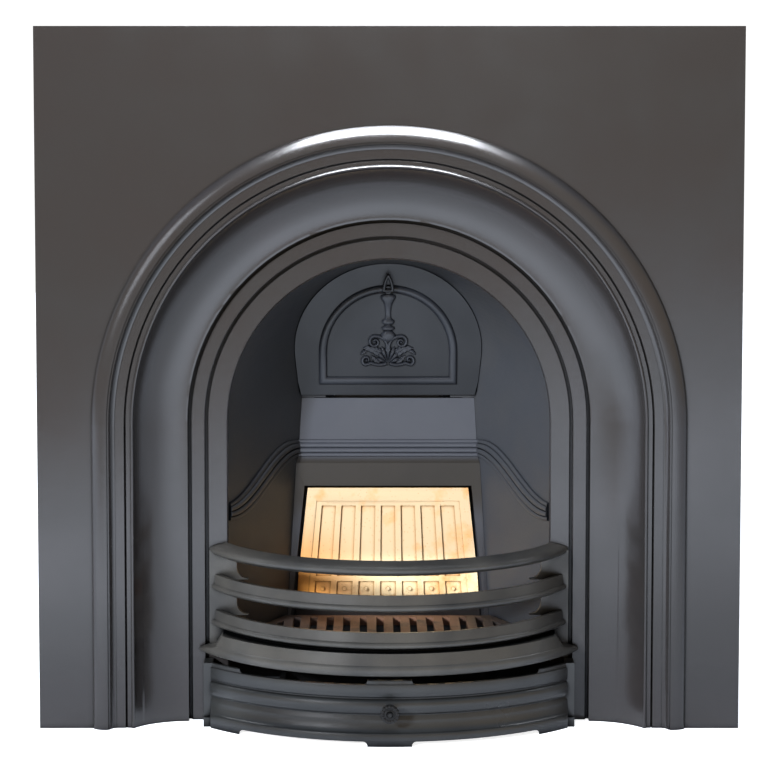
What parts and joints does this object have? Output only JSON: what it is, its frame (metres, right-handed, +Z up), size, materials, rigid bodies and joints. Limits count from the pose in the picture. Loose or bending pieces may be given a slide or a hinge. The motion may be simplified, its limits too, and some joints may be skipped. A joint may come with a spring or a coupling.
{
  "type": "arched cast iron fireplace insert",
  "caption": "Square cast iron fireplace insert with a moulded arch, splayed fire chamber, hinged flue door, bowed bars, slotted grate, fire brick and a loose ash cover with its pan.",
  "frame": {"origin": "on the hearth, under the centre of the whole fireplace's width and depth", "axes": "+X across the front to the viewer's right, +Y back into the chimney, +Z up from the hearth"},
  "size_m": [0.965, 0.3584, 0.965],
  "materials": {
    "black_iron": "satin stove blacking",
    "grate_iron": "heat browned, lightly rusted",
    "fire_clay": "matte fired clay with scorch stains",
    "pan_steel": "matte black heat paint",
    "fastener_steel": "dull plain steel"
  },
  "bodies": {
    "insert": {"face_plate": "black_iron", "arch_ring": "black_iron", "ring_clamps": "fastener_steel", "ring_bolts": "fastener_steel", "cheek_left": "black_iron", "cheek_right": "black_iron", "smoke_hood": "black_iron", "front_flange_bolts": "fastener_steel", "flue_frame": "black_iron", "back_flange_bolts": "fastener_steel", "back_panel": "black_iron", "fire_brick": "fire_clay", "door_hinge_pins": "fastener_steel", "bar_studs": "fastener_steel"},
    "door": {"flue_door": "black_iron", "door_handle": "black_iron"},
    "grate": {"bottom_grate": "grate_iron"},
    "bars": {"front_bars": "black_iron"},
    "cover": {"ash_cover": "black_iron", "cover_knob": "black_iron", "knob_stud": "fastener_steel", "knob_nut": "fastener_steel"},
    "pan": {"ash_pan": "pan_steel", "pan_handle": "pan_steel", "pan_rivets": "fastener_steel"}
  },
  "joints": [
    {"name": "door_hinge", "type": "hinge", "parent": "insert", "child": "door", "pos_m": [0, 0.15576, 0.442], "axis": [1, 0, 0], "range_deg": [0, 35]},
    {"name": "grate_lift", "type": "slide", "parent": "insert", "child": "grate", "axis": [0, 0, 1], "range_m": [0, 0.02]},
    {"name": "bars_lift", "type": "slide", "parent": "insert", "child": "bars", "axis": [0, 0, 1], "range_m": [0, 0.016]},
    {"name": "cover_slide", "type": "slide", "parent": "insert", "child": "cover", "axis": [0, -1, 0], "range_m": [0, 0.18]},
    {"name": "pan_slide", "type": "slide", "parent": "insert", "child": "pan", "axis": [0, -1, 0], "range_m": [0, 0.18]}
  ],
  "couplings": [
    {"joint": "pan_slide", "follows": "cover_slide", "ratio": 1}
  ]
}
